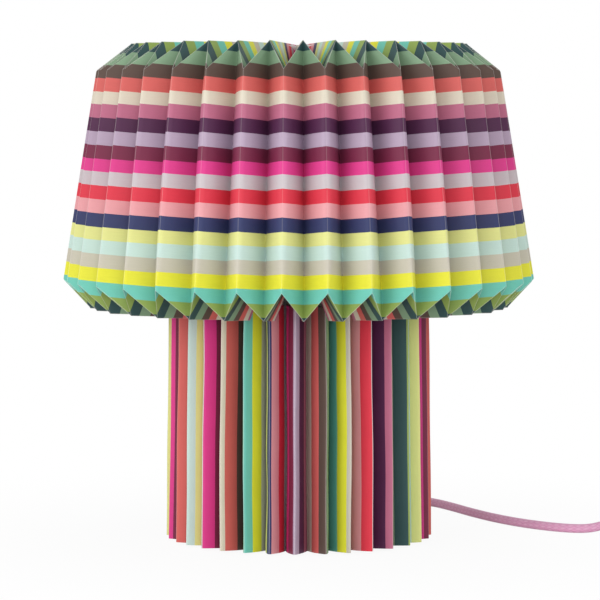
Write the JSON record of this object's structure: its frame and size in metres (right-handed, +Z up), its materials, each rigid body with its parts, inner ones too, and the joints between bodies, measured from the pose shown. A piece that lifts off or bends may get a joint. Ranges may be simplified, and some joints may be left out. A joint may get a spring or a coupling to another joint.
{
  "type": "pleated paper table lamp",
  "caption": "Table lamp with a drum shade of pleated striped paper on a pleated paper base, with a textile cord, in-line switch and plug.",
  "frame": {"origin": "centre of the lamp's underside, on the table", "axes": "+Z up, the front looks along -Y, +X to the right, where the cord leaves"},
  "size_m": [0.5243, 0.3683, 0.349],
  "materials": {
    "striped_paper": "matt printed paper in plain multicolour stripes",
    "felt": "pressed wool felt",
    "black_steel": "fine black powder coat",
    "birch_ply": "bare plywood",
    "zinc_steel": "zinc plated",
    "white_holder": "moulded satin plastic",
    "ceramic": "glazed ceramic",
    "brass": "plain brass",
    "pink_cord": "braided textile sleeve",
    "core_sheath": "wire insulation",
    "pink_rubber": "moulded soft plastic",
    "tie_strap": "woven strap",
    "white_switch": "moulded plastic",
    "white_rocker": "moulded plastic",
    "plug_metal": "nickel plated brass",
    "white_wire": "white powder coat",
    "card_ring": "rolled card",
    "solder_metal": "insulator with a soldered tip",
    "bulb_metal": "rolled thread shell",
    "bulb_plastic": "moulded plastic",
    "opal_dome": "opal diffuser"
  },
  "bodies": {
    "base": {"felt_pad": "felt", "base_plate": "black_steel", "paper_sleeve": "striped_paper", "top_disc": "birch_ply", "stem": "zinc_steel", "stem_nuts": "zinc_steel", "stem_washers": "zinc_steel", "holder_cap": "white_holder", "holder_body": "white_holder", "contact_insert": "ceramic", "centre_contact": "brass", "side_contacts": "brass", "terminal_screws": "brass", "inner_lead": "pink_cord", "lead_cores": "core_sheath", "cord_grip": "pink_rubber", "channel_clamp": "zinc_steel", "clamp_screws": "zinc_steel", "cord_near": "pink_cord", "cord_middle": "pink_cord", "cord_coil": "pink_cord", "cord_end": "pink_cord", "coil_tie": "tie_strap", "switch_lower": "white_switch", "switch_upper": "white_switch", "switch_screws": "zinc_steel", "switch_terminals": "brass", "rocker_pin": "zinc_steel", "plug_boot": "white_switch", "plug_body": "white_switch", "plug_pins": "plug_metal"},
    "collar": {"shade_collar": "white_holder"},
    "carrier": {"carrier_washer": "white_wire", "carrier_arm_1": "white_wire", "carrier_arm_2": "white_wire", "carrier_arm_3": "white_wire", "carrier_hoop": "white_wire"},
    "shade": {"paper_shade_1": "striped_paper", "paper_shade_2": "striped_paper", "paper_shade_3": "striped_paper", "paper_shade_4": "striped_paper", "paper_shade_5": "striped_paper", "paper_shade_6": "striped_paper", "paper_shade_7": "striped_paper", "gather_ring": "card_ring"},
    "bulb": {"bulb_tip": "solder_metal", "bulb_shell": "bulb_metal", "bulb_housing": "bulb_plastic", "bulb_glass": "opal_dome"},
    "rocker": {"rocker": "white_rocker"}
  },
  "joints": [
    {"name": "carrier_turn", "type": "hinge", "parent": "base", "child": "carrier", "pos_m": [0, 0, 0.1784], "axis": [0, 0, 1], "continuous": true},
    {"name": "shade_lift", "type": "slide", "parent": "carrier", "child": "shade", "axis": [0, 0, 1], "range_m": [0, 0.18]},
    {"name": "collar_turn", "type": "hinge", "parent": "base", "child": "collar", "pos_m": [0, 0, 0.184], "axis": [0, 0, 1], "continuous": true},
    {"name": "bulb_turn", "type": "hinge", "parent": "base", "child": "bulb", "pos_m": [0, 0, 0.19], "axis": [0, 0, 1], "continuous": true},
    {"name": "switch_rocker", "type": "hinge", "parent": "base", "child": "rocker", "pos_m": [0.263, 0.0208, 0.011], "axis": [0, 1, 0], "range_deg": [0, 14]}
  ]
}
